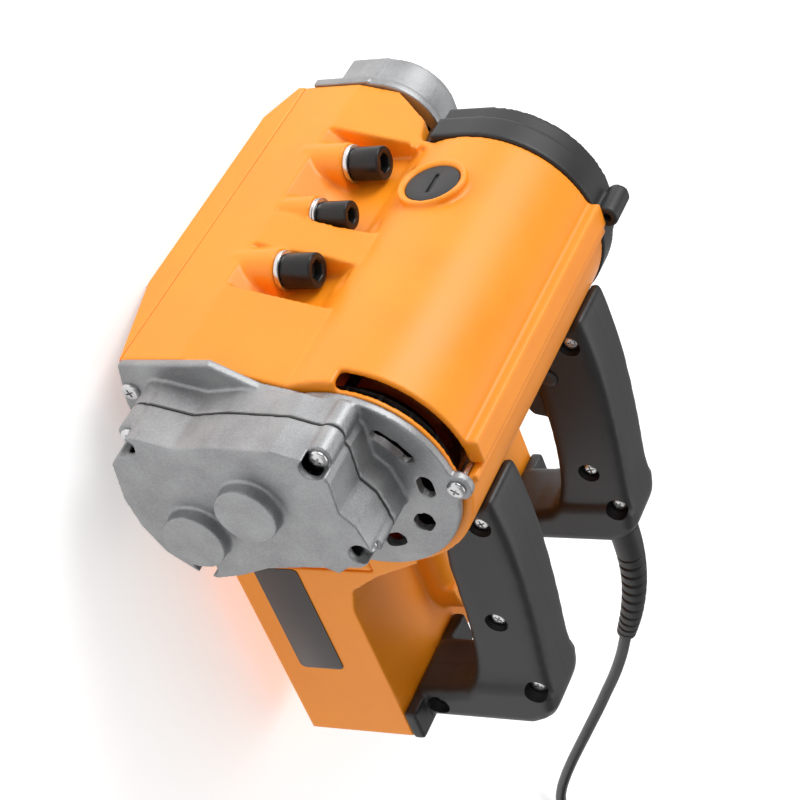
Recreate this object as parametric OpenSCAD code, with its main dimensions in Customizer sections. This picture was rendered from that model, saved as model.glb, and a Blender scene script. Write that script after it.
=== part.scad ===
// Hand-held wall chaser with a side gear case and two D-handles.
// X runs along the motor and blade shafts (gear case at +X), the bolts and the motor cover
// face -Y, the handles are on the +Z side, and the tool stands on its sole plate at Z = 0.

/* [Housing] */
// X of the housing's gear case end
near_x = 108; // [100:1:112]
// X of the housing's outboard end
far_x = -132; // [-136:1:-128]
// Y of the guard's flat face
face_y = -139.5; // [-142:0.5:-137]
// Y of the lower housing's closed end
end_y = 141; // [141:1:141]
// Outer radius of the motor barrel
barrel_r = 62; // [61:0.5:63]
// Wall thickness of the mouldings
wall = 3.5; // [2.5:0.5:3.5]
// Height of the guard's rim over the floor
rim_z = 19; // [18:1:20]

/* [Drive] */
// Y of the motor axis
motor_y = -63.5; // [-65:0.5:-63]
// Z of the motor axis
motor_z = 131; // [130:0.5:132]
// Y of the blade shaft axis
blade_y = -67.5; // [-69:0.5:-66]
// Z of the blade shaft axis
blade_z = 62; // [61.5:0.5:62]
// Gear module of the first pair
module_a = 1.25; // [1.25:0.01:1.25]
// Gear module of the second pair
module_b = 1.5; // [1.5:0.01:1.5]
// Teeth on the motor pinion
pinion_teeth = 15; // [15:1:15]
// Teeth on the idler wheel
idler_teeth = 46; // [46:1:46]
// Teeth on the idler's own pinion
idler_pinion_teeth = 28; // [28:1:28]
// Teeth on the blade gear
blade_teeth = 30; // [30:1:30]

/* [Blades] */
// Radius of each diamond blade
blade_r = 57.5; // [50:0.5:57.5]
// Number of blades on the shaft
blade_count = 5; // [2:1:5]
// Thickness of a blade's rim
blade_t = 2; // [1.6:0.1:2]
// Middle of the blade stack along X
stack_x = -0.5; // [-0.6:0.1:-0.4]
// Length of the blade stack
stack_len = 20; // [16:1:20]

/* [Sole] */
// Thickness of the sole plate
sole_t = 3; // [2:0.5:3]
// Near edge of the sole plate along X
sole_near_x = 45; // [40:1:50]
// Far edge of the sole plate along X
sole_far_x = -104; // [-108:1:-100]
// Travel of the sole plate into the guard
plunge = 12; // [5:1:12]

/* [Bolts] */
// Spacing of the three bolts along X
bolt_pitch = 46.5; // [46:0.5:47]
// Y of the bolt axes
bolt_y = -128; // [-128:0.5:-127]
// Radius of a guide bolt
bolt_r = 5.5; // [5:0.5:5.5]

/* [Handles] */
// Middle of the near handle along X
near_handle_x = 72.5; // [70:0.5:74]
// Middle of the far handle along X
far_handle_x = -69.5; // [-70:0.5:-69]
// Width of a handle's foot
foot_w = 45; // [42:1:46]
// Width of a handle's grip
grip_w = 37; // [34:1:38]

/* [Mains lead] */
// Diameter of the lead
lead_d = 7.5; // [7:0.5:8]
// Diameter across the middle of the coil's turns
coil_d = 90; // [80:1:100]

/* [Hidden] */

$fn = 64;
fit = 0.05;          // running clearance on a radius
gap = 0.3;           // air between neighbouring pieces
inner_r = barrel_r - wall;
split_y = motor_y + 1.5;
guard_top = 112.5;   // crease between the guard and the barrel
guard_back = 8;      // +Y side of the guard
slab_low = 22.5;
slab_high = 89;
cap_x = -95;         // where the black end cap starts
cap_end = -125;
plate_x = 114;       // outer face of the vent plate
part_x = 131;        // joint between gear case and cover
cover_x = 157;       // flat face of the cover
boss_x = 165;        // face of the two bearing bosses
casting_x = -162.4;  // outer face of the outboard casting
floor_x = 109;       // inner face of the gear case
bolt_x = [23.5, 23.5 - bolt_pitch, 23.5 - 2*bolt_pitch];
washer_z = 73;
head_z = 76;
valley_y = -116.2;
valley_x = [[12.8, 48], [-90, -14]];
head_h = 18;
pin_y = -3;
pin_x = [33, -92];
guide_top = 25;      // lower end of the guide tubes
coil_pos = [-62, 541];
near_holes = [[-12, 175.5], [59.5, 161.7], [112, 169], [128, 104]];
far_holes = [[-12, 175.5], [84, 159], [112, 169], [128, 104]];
near_shift = -3;     // foot flange of the near handle, off its middle
far_shift = 3;
lock_y = 10.5;
lock_z = 156;
stack_lo = stack_x - stack_len/2;
stack_hi = stack_x + stack_len/2;
blade_step = (stack_len - blade_t)/(blade_count - 1);

// Idler centre, where the two gear pairs' centre distances meet
dist_a = module_a*(pinion_teeth + idler_teeth)/2;
dist_b = module_b*(idler_pinion_teeth + blade_teeth)/2;
axis_dy = blade_y - motor_y;
axis_dz = blade_z - motor_z;
axis_gap = sqrt(axis_dy*axis_dy + axis_dz*axis_dz);
along = (dist_a*dist_a - dist_b*dist_b + axis_gap*axis_gap)/(2*axis_gap);
across = sqrt(dist_a*dist_a - along*along);
idler_y = motor_y + (along*axis_dy + across*axis_dz)/axis_gap;
idler_z = motor_z + (along*axis_dz - across*axis_dy)/axis_gap;

// Directions between the shafts, used to put a tooth of one gear in a gap of the other
to_idler = atan2(idler_z - motor_z, idler_y - motor_y);
to_blade = atan2(blade_z - idler_z, blade_y - idler_y);

// Outline of the gear case cover, clockwise from its low front corner
cover_outline = [[-113, 29], [-89, 25], [-70, 27], [-52, 34], [-38, 48], [-34, 58],
    [-37, 74], [-43, 92], [-45, 112], [-47, 148], [-52, 157], [-62, 158], [-75, 156],
    [-84, 150], [-104, 152], [-117, 147], [-120, 137], [-124, 126], [-126, 91],
    [-124, 70], [-131, 47], [-129, 38], [-120, 36]];
cover_lugs = [[-124.7, 41.5], [-112.5, 145.5], [-56, 151.4], [-42, 54]];
outboard_lugs = [[-124, 48], [-112, 82], [-52, 38], [-48, 83]];
flange_lugs = [[-124.4, 23.2], [-61.6, 188.6], [-12, 96]];

// Profile of a D-handle in Y and Z, from the rib round the grip to the foot
grip_profile = [[-56, 184], [-40, 186], [-15, 187.5], [5, 187.8], [20, 187], [35, 186], [50, 184.5],
    [65, 182.8], [80, 180.8], [95, 178.5], [108, 177], [118, 177], [128, 175], [135, 169], [139, 160],
    [139, 89.3], [118, 89.3], [117.5, 112], [115.5, 124], [109, 131.5], [100, 135], [88, 138.5],
    [75, 141], [60, 143], [40, 144.7], [20, 146], [8, 148.5], [-4, 150]];
grip_core = [[-28, 179], [-15, 183.5], [5, 183.8], [20, 183], [50, 180.5], [80, 176.8], [108, 173],
    [118, 173], [126, 171.5], [132, 166], [135, 159], [135, 96], [122, 96], [121.5, 113], [119, 127],
    [111, 135], [101, 139], [76, 145], [41, 148.7], [20, 150], [10, 152.5], [2, 158]];
// Plate beside the trigger on the far handle
trigger_web = [[-8, 151], [-1, 134], [6, 131.5], [41, 131.5], [44.5, 134], [46.5, 142], [52, 147], [52, 150]];

// Route of the free lead: out of the boot, down to the floor and round to the coil
lead_route = [[-61, 231, 137], [-63, 243, 131.5], [-65.5, 256, 125.3], [-68, 270, 118], [-70.5, 286, 109],
    [-73, 304, 98], [-75.5, 323, 86.5], [-77.5, 342, 74.5], [-79.5, 361, 62.5], [-82, 380, 50.5],
    [-85, 399, 38.8], [-88.5, 418, 27.8], [-92.5, 437, 17.8], [-97, 456, 9.8], [-101.5, 475, 5.2],
    [-106, 493, 3.95], [-110.5, 511, 3.95], [-115, 529, 3.95]];
tail_route = [[-13.4, 541, 26.9], [-13.4, 526, 26.9], [-13.4, 510, 26.4], [-13.4, 497, 23.5],
    [-13.4, 484, 19.6], [-13.4, 472, 18]];
boot_route = [[-60, 136, 162], [-60, 150, 161.6], [-60, 165, 160], [-60, 180, 157],
    [-60, 195, 152.6], [-60, 210, 147], [-60.4, 222, 141.5], [-61, 231, 137]];

// Stand a YZ profile or a cylinder along X
module on_x(x0) { translate([x0, 0, 0]) rotate([90, 0, 90]) children(); }
module rod_x(x0, x1, r, y, z) { translate([x0, y, z]) rotate([0, 90, 0]) cylinder(h = x1 - x0, r = r); }
module rod_y(y0, y1, r, x, z) { translate([x, y1, z]) rotate([90, 0, 0]) cylinder(h = y1 - y0, r = r); }
module rod_z(z0, z1, r, x, y) { translate([x, y, z0]) cylinder(h = z1 - z0, r = r); }
module box(a, b) { translate(a) cube(b - a); }
module ring_x(x0, x1, ro, ri, y, z) {
    difference() { rod_x(x0, x1, ro, y, z); rod_x(x0 - 1, x1 + 1, ri, y, z); }
}
module pan_screw_x(x, y, z, len, r = 2.4, head = 5) {
    difference() {
        union() { rod_x(x - len, x, r, y, z); rod_x(x, x + 2.6, head, y, z); }
        box([x + 1.2, y - 0.6, z - 2.6], [x + 4, y + 0.6, z + 2.6]);
        box([x + 1.2, y - 2.6, z - 0.6], [x + 4, y + 2.6, z + 0.6]);
    }
}

// Spur gear in the XY plane with straight-flanked teeth; turn puts a tooth on that bearing
module gear_2d(teeth, m, turn) {
    root = m*teeth/2 - 1.15*m;
    tip = m*teeth/2 + 0.85*m;
    step = 360/teeth;
    polygon([for (i = [0:teeth - 1]) for (k = [[-0.33, root], [-0.13, tip], [0.13, tip], [0.33, root]])
        let (a = turn + (i + k[0])*step) [k[1]*cos(a), k[1]*sin(a)]]);
}
module gear_x(x0, w, teeth, m, turn, y, z) {
    on_x(x0) translate([y, z, 0]) linear_extrude(w) gear_2d(teeth, m, turn);
}

// Tube swept along points, with one radius for each point
function unit(v) = v/norm(v);
function heading(p, i) = unit(p[min(i + 1, len(p) - 1)] - p[max(i - 1, 0)]);
function side(t) = unit(cross(t, abs(t[0]) < 0.8 ? [1, 0, 0] : [0, 1, 0]));
module sweep(points, radii, sides) {
    n = len(points);
    rings = [for (i = [0:n - 1]) let (t = heading(points, i), u = side(t), v = cross(t, u))
        for (k = [0:sides - 1]) points[i] + radii[i]*(cos(360*k/sides)*u + sin(360*k/sides)*v)];
    faces = concat([[for (k = [0:sides - 1]) k]],
        [for (i = [0:n - 2]) for (k = [0:sides - 1])
            [i*sides + k, (i + 1)*sides + k, (i + 1)*sides + (k + 1)%sides, i*sides + (k + 1)%sides]],
        [[for (k = [sides - 1:-1:0]) (n - 1)*sides + k]]);
    polyhedron(points = rings, faces = faces, convexity = 4);
}
// Catmull-Rom points between the route's own points
function spline_point(p, i, f) = let (a = p[max(i - 1, 0)], b = p[i], c = p[i + 1],
    d = p[min(i + 2, len(p) - 1)])
    0.5*(2*b + (c - a)*f + (2*a - 5*b + 4*c - d)*f*f + (3*b - a - 3*c + d)*f*f*f);
function smooth(p, steps) = concat([for (i = [0:len(p) - 2]) for (k = [0:steps - 1])
    spline_point(p, i, k/steps)], [p[len(p) - 1]]);
module coil_spring(p, r, wire, height, turns) {
    n = turns*14;
    points = [for (i = [0:n]) p + [r*cos(360*turns*i/n), r*sin(360*turns*i/n),
        wire + (height - 2*wire)*i/n]];
    sweep(points, [for (i = [0:n]) wire], 6);
}

// Cross-sections of the two mouldings
module guard_2d(t) {
    polygon([[face_y + t, rim_z - (t > 0 ? 5 : 0)], [face_y + t, 55 - t/8],
        [-122.3 + t, guard_top - t/2], [guard_back - t, guard_top - t],
        [guard_back - t, rim_z - (t > 0 ? 5 : 0)]]);
}
module barrel_2d(r) { translate([motor_y, motor_z]) circle(r = r, $fn = 128); }
module upper_2d(t) {
    guard_2d(t);
    intersection() {
        barrel_2d(barrel_r - t);
        translate([-200, 90]) square([200 + split_y - gap, 120]);
    }
}
module lower_2d(t) {
    difference() {
        union() {
            intersection() {
                barrel_2d(barrel_r - t);
                translate([split_y, guard_top - 20]) square([120, 120]);
            }
            polygon([[-30, guard_top - 10], [guard_back, 60], [40, 60], [40, slab_high - t],
                [24 - t, 94 - t], [12 - t, 113], [-t, 142], [-30, 142]]);
            translate([guard_back, slab_low + t]) square([end_y - t - guard_back,
                slab_high - slab_low - 2*t]);
        }
        translate([-200, 0]) square([200 + guard_back + gap + t, guard_top + gap + t]);
    }
}
module plan_cut() {
    // Ends of the guard seen along Y
    translate([0, 300, 0]) rotate([90, 0, 0]) linear_extrude(600)
        polygon([[near_x, 0], [near_x, 210], [cap_x, 210], [cap_x, 104.5], [-112, 100],
            [far_x, 78], [far_x, 0]]);
}

// Half-round nose that carries a bolt, and the trough its head stands in
module spout(x, r) {
    rod_z(46, washer_z, r, x, bolt_y);
    translate([x - r, bolt_y, 46]) cube([2*r, 14, washer_z - 46]);
    rod_z(guide_top, 47, 8, x, bolt_y);
    box([x - 5, face_y + 1, guide_top], [x + 5, bolt_y, 47]);
}
module trough(x, r) { rod_z(washer_z, 107.5, r, x, bolt_y); }

// Low ground that the bolt heads stand over, between the flat face and the barrel
module valley_2d() {
    difference() {
        polygon([[face_y - 5, 53], [face_y, 53], [-124, 66], [valley_y, 77], [valley_y, guard_top],
            [-116.6, guard_top + 5], [face_y - 5, guard_top + 5]]);
        barrel_2d(barrel_r);
    }
}
module valley_liner_2d() {
    intersection() {
        guard_2d(0);
        polygon([[face_y - 5, 48], [face_y + 5, 50], [-119, 62.5], [valley_y + 5, 75],
            [valley_y + 5, 120], [face_y - 5, 120]]);
    }
}

module upper_housing() {
    color([1, 0.55, 0.1]) difference() {
        union() {
            difference() {
                union() {
                    intersection() {
                        difference() {
                            on_x(far_x) linear_extrude(near_x - far_x) upper_2d(0);
                            on_x(far_x + wall) linear_extrude(near_x - far_x - 2*wall) upper_2d(wall);
                        }
                        plan_cut();
                    }
                    for (v = valley_x) on_x(v[0] - 2) linear_extrude(v[1] - v[0] + 4) valley_liner_2d();
                }
                for (v = valley_x) on_x(v[0]) linear_extrude(v[1] - v[0]) valley_2d();
            }
            // Sloping wall that closes the guard's outboard corner
            intersection() {
                on_x(far_x) linear_extrude(cap_x - far_x + 20) guard_2d(0);
                translate([0, guard_back, 0]) rotate([90, 0, 0]) linear_extrude(guard_back - face_y)
                    polygon([[cap_x + 8, 101], [-111, 96.5], [far_x, 73], [far_x, 78],
                        [-112, 100], [cap_x, 104.5], [cap_x + 8, 105]]);
            }
            // Seam rib along the barrel
            box([cap_x, motor_y - 13.5, 190.5], [near_x - 3, split_y - gap, 198]);
            for (i = [0, 2]) spout(bolt_x[i], 12.2);
            spout(bolt_x[1], 11.2);
            rod_y(-128, -122.2, 18.5, -50, motor_z);
            for (x = pin_x) {
                rod_z(guide_top, 60, 7.5, x, pin_y);
                box([x - 4, pin_y, guide_top], [x + 4, guard_back - 1, 60]);
            }
        }
        rod_x(near_x - wall - 2, near_x + 1, 53, motor_y, motor_z);
        rod_x(stack_x - 10.9, stack_x + 11.1, 58.7, blade_y, blade_z);
        for (i = [0, 2]) trough(bolt_x[i], 11.3);
        trough(bolt_x[1], 10.3);
        on_x(near_x - 11) translate([motor_y, motor_z]) linear_extrude(12) difference() {
            circle(r = 70);
            circle(r = 55.5);
            translate([-80, -120]) square([160, 128]);
            translate([4, -80]) square([80, 160]);
            rotate(62) translate([0, -80]) square([80, 100]);
        }
        rod_x(near_x - wall - 1, near_x + 1, 18.5, blade_y, blade_z);
        rod_x(far_x - 1, far_x + wall + 1, 12, blade_y, blade_z);
        for (p = outboard_lugs) rod_x(far_x - 1, far_x + wall + 1, 2.5, p[0], p[1]);
        for (x = [bolt_x[0], bolt_x[2]]) rod_z(0, 80, bolt_r + fit, x, bolt_y);
        rod_z(52, 80, 4.5 + fit, bolt_x[1], bolt_y);
        rod_y(-130, -110, 15.6, -50, motor_z);
        for (x = pin_x) rod_z(0, 56, 4 + fit, x, pin_y);
        rod_x(cap_x - 1, near_x - wall - 1, inner_r - 0.3, motor_y, motor_z);
        for (p = flange_lugs) rod_x(near_x - 14, near_x + 1, 2.5, p[0], p[1]);
        box([-150, split_y - 14, motor_z], [cap_x, 60, 210]);
    }
}

// Rounded ridge on the slab between the two handles
module raised_back(t) {
    x0 = -24 + t;
    x1 = 44 - t;
    r = 12 - t;
    top = slab_high + 18 - t;
    y0 = guard_back + gap + t;
    difference() {
        union() {
            box([x0, y0, slab_high - 8], [x1, 88, top - r]);
            box([x0 + r, y0, slab_high - 8], [x1 - r, 88, top]);
            for (x = [x0 + r, x1 - r]) rod_y(y0, 88, r, x, top - r);
            intersection() {
                translate([(x0 + x1)/2, 88, slab_high - 8])
                    cylinder(h = top - slab_high + 8, r = (x1 - x0)/2);
                box([x0, 87.9, slab_high - 8], [x1, 118, top - 0.01]);
            }
        }
        box([x0 - 1, 0, 0], [x1 + 1, 130, slab_high - 6]);
    }
}
module lower_housing() {
    color([1, 0.55, 0.1]) difference() {
        union() {
            on_x(cap_x) linear_extrude(near_x - cap_x) lower_2d(0);
            on_x(-105) linear_extrude(12) translate([guard_back + gap, slab_low])
                square([end_y - guard_back - gap, slab_high - slab_low]);
            box([cap_x, split_y, 190.5], [near_x - 3, split_y + 5, 196]);
            rod_y(-20, 4, 17.5, -50, motor_z);
            raised_back(0);
        }
        raised_back(wall);
        on_x(cap_x - 1) linear_extrude(near_x - cap_x - wall + 1) intersection() {
            lower_2d(wall);
            translate([-200, 0]) square([205, 300]);
        }
        box([-105 + wall, guard_back + wall + 2, slab_low + wall],
            [near_x - wall, end_y - wall, slab_high - wall]);
        rod_x(near_x - wall - 1, near_x + 1, 53, motor_y, motor_z);
        rod_x(cap_x - 1, near_x - wall - 1, inner_r - 0.3, motor_y, motor_z);
        rod_y(-30, 5, 15.6, -50, motor_z);
        for (p = flange_lugs) rod_x(near_x - 14, near_x + 1, 2.5, p[0], p[1]);
    }
}

module dust_skirt() {
    color([1, 0.55, 0.1]) translate([0, face_y + 3, 0]) rotate([90, 0, 0]) linear_extrude(3)
        polygon([[near_x, rim_z - 0.1], [sole_near_x, sole_t + 0.3], [sole_far_x, sole_t + 0.3],
            [far_x, 14], [far_x, rim_z - 0.1]]);
}

module end_cap_2d(r) {
    translate([motor_y, motor_z]) circle(r = r, $fn = 128);
    translate([motor_y - r, 110]) square([r, motor_z - 110]);
    translate([motor_y - r + 6, 105]) square([r, 30]);
}
module end_cap() {
    color([0.08, 0.08, 0.09]) difference() {
        union() {
            on_x(-112) linear_extrude(cap_x + 112 - gap) end_cap_2d(63);
            on_x(cap_end) linear_extrude(-112 - cap_end) end_cap_2d(60);
            rod_x(-118, cap_x - gap, 6.5, -66, 198.5);
        }
        on_x(cap_end + 3) linear_extrude(60) end_cap_2d(57);
        translate([0, guard_back + gap, 0]) rotate([90, 0, 0]) linear_extrude(200)
            polygon([[cap_x + 5, 0], [cap_x + 5, 105], [cap_x, 104.9], [-112, 100.4], [far_x, 78.5],
                [-150, 70], [-150, 0]]);
        for (a = [0:30:330]) rod_x(cap_end - 1, cap_end + 4, 5, motor_y + 38*cos(a), motor_z + 38*sin(a));
        rod_x(-130, cap_x + 1, 2.3, -66, 198.5);
    }
}

module bearing_bulkhead() {
    color([0.12, 0.12, 0.13]) difference() {
        union() {
            rod_x(-92, -88, inner_r - 0.6, motor_y, motor_z);
            rod_x(-92, -79, 16, motor_y, motor_z);
        }
        rod_x(-90, -70, 11 + fit, motor_y, motor_z);
        rod_x(-95, -70, 7, motor_y, motor_z);
        for (a = [30:60:330]) rod_x(-95, -80, 12, motor_y + 38*cos(a), motor_z + 38*sin(a));
    }
}

module plate_2d() {
    translate([motor_y, motor_z]) circle(r = 57, $fn = 128);
    polygon([[-141.5, 22], [-141.5, 76], [-126, 100], [-120, 122], [-60, 130], [-6, 112],
        [4, 96], [-4, 80], [-24, 40], [-44, 22], [-80, 15], [-117, 16]]);
    translate([-61.6, 188.6]) circle(r = 8);
    translate([-12, 96]) circle(r = 8);
}
module gear_case_body() {
    color([0.66, 0.67, 0.69]) difference() {
        union() {
            on_x(floor_x) linear_extrude(plate_x - floor_x) plate_2d();
            on_x(plate_x) linear_extrude(part_x - plate_x - 0.5) polygon(cover_outline);
            for (p = cover_lugs) rod_x(plate_x, part_x - 0.5, 7, p[0], p[1]);
            rod_x(103, plate_x, 18, blade_y, blade_z);
        }
        difference() {
            on_x(plate_x) linear_extrude(30) offset_outline(4);
            rod_x(floor_x, 118, 17, motor_y, motor_z);
            rod_x(floor_x, 118, 14, idler_y, idler_z);
        }
        rod_x(109.5, 130, 14 + fit, motor_y, motor_z);
        rod_x(100, 130, 7.5, motor_y, motor_z);
        rod_x(110.5, 130, 11 + fit, idler_y, idler_z);
        rod_x(104, 130, 15 + fit, blade_y, blade_z);
        rod_x(100, 130, 10, blade_y, blade_z);
        for (a = [116, 129, 142]) rod_x(100, 130, 3.6, motor_y + 40.6*cos(a), motor_z + 40.6*sin(a));
        for (a = [83, 92, 46, 54, 10, 17]) rod_x(100, 130, 3.6, motor_y + 40.6*cos(a), motor_z + 40.6*sin(a));
        for (p = cover_lugs) rod_x(112, 140, 2.45, p[0], p[1]);
        for (p = flange_lugs) rod_x(100, 130, 2.6, p[0], p[1]);
    }
}
// Outline of the case drawn in towards its middle, for the cavity
module offset_outline(t) {
    middle = [-84, 92];
    polygon([for (p = cover_outline) let (v = p - middle) middle + v*(norm(v) - t - 1)/norm(v)]);
}
module gear_case_cover() {
    color([0.66, 0.67, 0.69]) difference() {
        union() {
            on_x(part_x + 0.5) linear_extrude(cover_x - part_x - 0.5) polygon(cover_outline);
            for (p = cover_lugs) rod_x(part_x + 0.5, 148, 7, p[0], p[1]);
            rod_x(cover_x, boss_x, 17.2, blade_y, blade_z);
            rod_x(cover_x, boss_x, 17, idler_y, idler_z);
        }
        difference() {
            on_x(part_x) linear_extrude(cover_x - part_x - 4) offset_outline(4);
            rod_x(148, 170, 17, blade_y, blade_z);
            rod_x(148, 170, 15, idler_y, idler_z);
        }
        rod_x(140, 158, 13 + fit, blade_y, blade_z);
        rod_x(140, 157, 11 + fit, idler_y, idler_z);
        for (p = cover_lugs) rod_x(130, 150, 2.6, p[0], p[1]);
        for (p = cover_lugs) rod_x(148, 170, 6.5, p[0], p[1]);
    }
}
module cover_gasket() {
    color([0.15, 0.15, 0.15]) difference() {
        on_x(part_x - 0.45) linear_extrude(0.9) polygon(cover_outline);
        on_x(part_x - 2) linear_extrude(4) offset_outline(4);
        for (p = cover_lugs) rod_x(130, 140, 2.6, p[0], p[1]);
    }
}
module cover_screws() { color("silver") for (p = cover_lugs) pan_screw_x(148, p[0], p[1], 28); }
module flange_screws() { color("silver") for (p = flange_lugs) pan_screw_x(plate_x, p[0], p[1], 18); }

module casting_2d(r, side, low) {
    intersection() {
        union() {
            translate([-103, 59]) circle(r = r, $fn = 96);
            translate([blade_y, blade_z - 1]) circle(r = r - 1, $fn = 96);
            translate([-103, 59 - r]) square([103 + blade_y, 2*r]);
            translate([side, low]) square([-103 - side, 60 - low]);
        }
        translate([side, 0]) square([140, 120]);
    }
}
module outboard_casting() {
    color([0.66, 0.67, 0.69]) difference() {
        union() {
            on_x(far_x - 6) linear_extrude(6 - gap) casting_2d(36, -140.5, 24);
            on_x(casting_x) linear_extrude(far_x - 6 - casting_x) casting_2d(32.5, -136.5, 36);
        }
        on_x(casting_x + 4) linear_extrude(40) difference() {
            casting_2d(28.5, -132.5, 40);
            translate([blade_y, blade_z]) circle(r = 19);
            for (p = outboard_lugs) translate(p) circle(r = 5.5);
        }
        rod_x(-148, -120, 15 + fit, blade_y, blade_z);
        for (p = outboard_lugs) rod_x(-170, -110, 2.6, p[0], p[1]);
    }
}
module outboard_screws() {
    color("silver") for (p = outboard_lugs) mirror([1, 0, 0]) pan_screw_x(-casting_x, p[0], p[1], 33);
}

module stator_core() {
    color([0.45, 0.46, 0.48]) difference() {
        rod_x(24, 76, 43, motor_y, motor_z);
        rod_x(20, 80, 26.6, motor_y, motor_z);
        for (a = [35, 145, 215, 325]) rod_x(20, 80, 5.2, motor_y + 33*cos(a), motor_z + 33*sin(a));
    }
}
module field_coils() {
    color([0.7, 0.35, 0.15]) {
        for (a = [35, 145, 215, 325])
            rod_x(24, 76, 5, motor_y + 33*cos(a), motor_z + 33*sin(a));
        for (x = [15, 76]) difference() {
            ring_x(x, x + 9, 39, 27.4, motor_y, motor_z);
            box([x - 1, motor_y - 50, motor_z - 4], [x + 12, motor_y + 50, motor_z + 4]);
        }
    }
}
module both_brushes() {
    children();
    translate([0, 2*motor_y, 0]) mirror([0, 1, 0]) children();
}
module brush_holders() {
    color([0.8, 0.65, 0.3]) both_brushes() difference() {
        box([-57, -117, motor_z - 8], [-43, -81, motor_z + 8]);
        box([-54.6, -118, motor_z - 5.6], [-45.4, -80, motor_z + 5.6]);
    }
}
module carbon_brushes() {
    color([0.15, 0.15, 0.16]) both_brushes()
        box([-54.4, -97, motor_z - 5.4], [-45.6, motor_y - 14.3, motor_z + 5.4]);
}
module brush_springs() {
    color("silver") both_brushes() translate([-50, -97.2, motor_z]) rotate([90, 0, 0])
        coil_spring([0, 0, 0], 3.4, 0.5, 19, 6);
}
module brush_caps() {
    color([0.06, 0.06, 0.07]) both_brushes() difference() {
        rod_y(-127.5, -118, 15.4, -50, motor_z);
        box([-58, -129, motor_z - 1.2], [-42, -125.5, motor_z + 1.2]);
    }
}

module label_plate() {
    color([0.12, 0.08, 0.06]) on_x(near_x) linear_extrude(0.6) hull() {
        for (y = [12, 84]) for (z = [40, 61]) translate([y, z]) circle(r = 3.5);
    }
}

// One half of a D-handle; side +1 is the half towards +X
module handle_half(x, s, shift, holes) {
    lo = s > 0 ? x + 0.02 : x - 50;
    hi = s > 0 ? x + 50 : x - 0.02;
    difference() {
        union() {
            intersection() {
                on_x(x - grip_w/2) linear_extrude(grip_w) polygon(grip_profile);
                box([lo, -80, 80], [hi, 200, 250]);
            }
            intersection() {
                on_x(x - foot_w/2) linear_extrude(foot_w) polygon(grip_profile);
                box([lo, 108, 80], [hi, 200, 250]);
            }
            // Foot flange lying on the slab's aft face
            intersection() {
                on_x(x - 40) linear_extrude(80)
                    polygon([[121, slab_high + gap], [141.5, slab_high + gap], [141.5, 97], [121, 97]]);
                box([max(lo, x + shift - 40), 0, 0], [min(hi, x + shift + 40), 200, 200]);
            }
        }
        intersection() {
            on_x(x - grip_w/2 + 4) linear_extrude(grip_w - 8) polygon(grip_core);
            box([x - 40, -8, 90], [x + 40, 160, 250]);
        }
        rod_x(x - 60, x + 60, barrel_r + gap, motor_y, motor_z);
        box([x - 60, split_y - 20, 180], [x + 60, split_y + 5 + gap, 199]);
        for (p = holes) rod_x(x - 60, x + 60, 2.6, p[0], p[1]);
        for (p = holes) rod_x(x + 14, x + 60, 6, p[0], p[1]);
        rod_y(-30, 8, 18.2, -50, motor_z);
    }
}
module near_handle_outer() { color([0.1, 0.1, 0.11]) handle_half(near_handle_x, 1, near_shift, near_holes); }
module near_handle_inner() { color([0.1, 0.1, 0.11]) handle_half(near_handle_x, -1, near_shift, near_holes); }
module far_half(s) {
    lo = s > 0 ? far_handle_x + 0.02 : far_handle_x - 14;
    color([0.1, 0.1, 0.11]) difference() {
        union() {
            handle_half(far_handle_x, s, far_shift, far_holes);
            difference() {
                on_x(lo) linear_extrude(13.98) polygon(trigger_web);
                rod_x(-150, 0, barrel_r + gap, motor_y, motor_z);
                box([-150, -20, 100], [0, guard_back + 5, 142]);
                rod_y(-30, 8, 18.2, -50, motor_z);
            }
        }
        box([far_handle_x - 9, 14.5, 120], [far_handle_x + 9, 72, 170]);
        rod_y(125, 150, 9.9, -60, 162);
    }
}
module far_handle_outer() {
    difference() {
        far_half(1);
        rod_x(far_handle_x + 5, -40, 5.5 + gap, lock_y, lock_z);
    }
}
module far_handle_inner() { far_half(-1); }
module handle_screws() {
    color("silver") {
        for (p = near_holes) pan_screw_x(near_handle_x + 14, p[0], p[1], 30, 2.4, 4.6);
        for (p = far_holes) pan_screw_x(far_handle_x + 14, p[0], p[1], 30, 2.4, 4.6);
    }
}
module switch_body() {
    color([0.2, 0.2, 0.22]) box([far_handle_x - 12, 24, 170.5], [far_handle_x + 12, 62, 177.5]);
}
module cord_clamp() {
    color([0.2, 0.2, 0.22]) difference() {
        box([-74, 124, 150], [-57, 134, 158]);
        rod_y(120, 140, lead_d/2 - 0.3, -60, 158);
    }
}

module motor_bearings() {
    color("silver") {
        ring_x(109.6, 117.6, 14, 6 + fit, motor_y, motor_z);
        ring_x(-89.8, -81, 11, 5 + fit, motor_y, motor_z);
    }
}
module idler_bearings() {
    color("silver") {
        ring_x(110.6, 117.6, 11, 6 + fit, idler_y, idler_z);
        ring_x(148.6, 156.6, 11, 6 + fit, idler_y, idler_z);
    }
}
module blade_bearings() {
    color("silver") {
        ring_x(104.2, 113.2, 15, 8 + fit, blade_y, blade_z);
        ring_x(148.6, 157.6, 13, 8 + fit, blade_y, blade_z);
        ring_x(-147.6, -138, 15, 8 + fit, blade_y, blade_z);
    }
}

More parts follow.
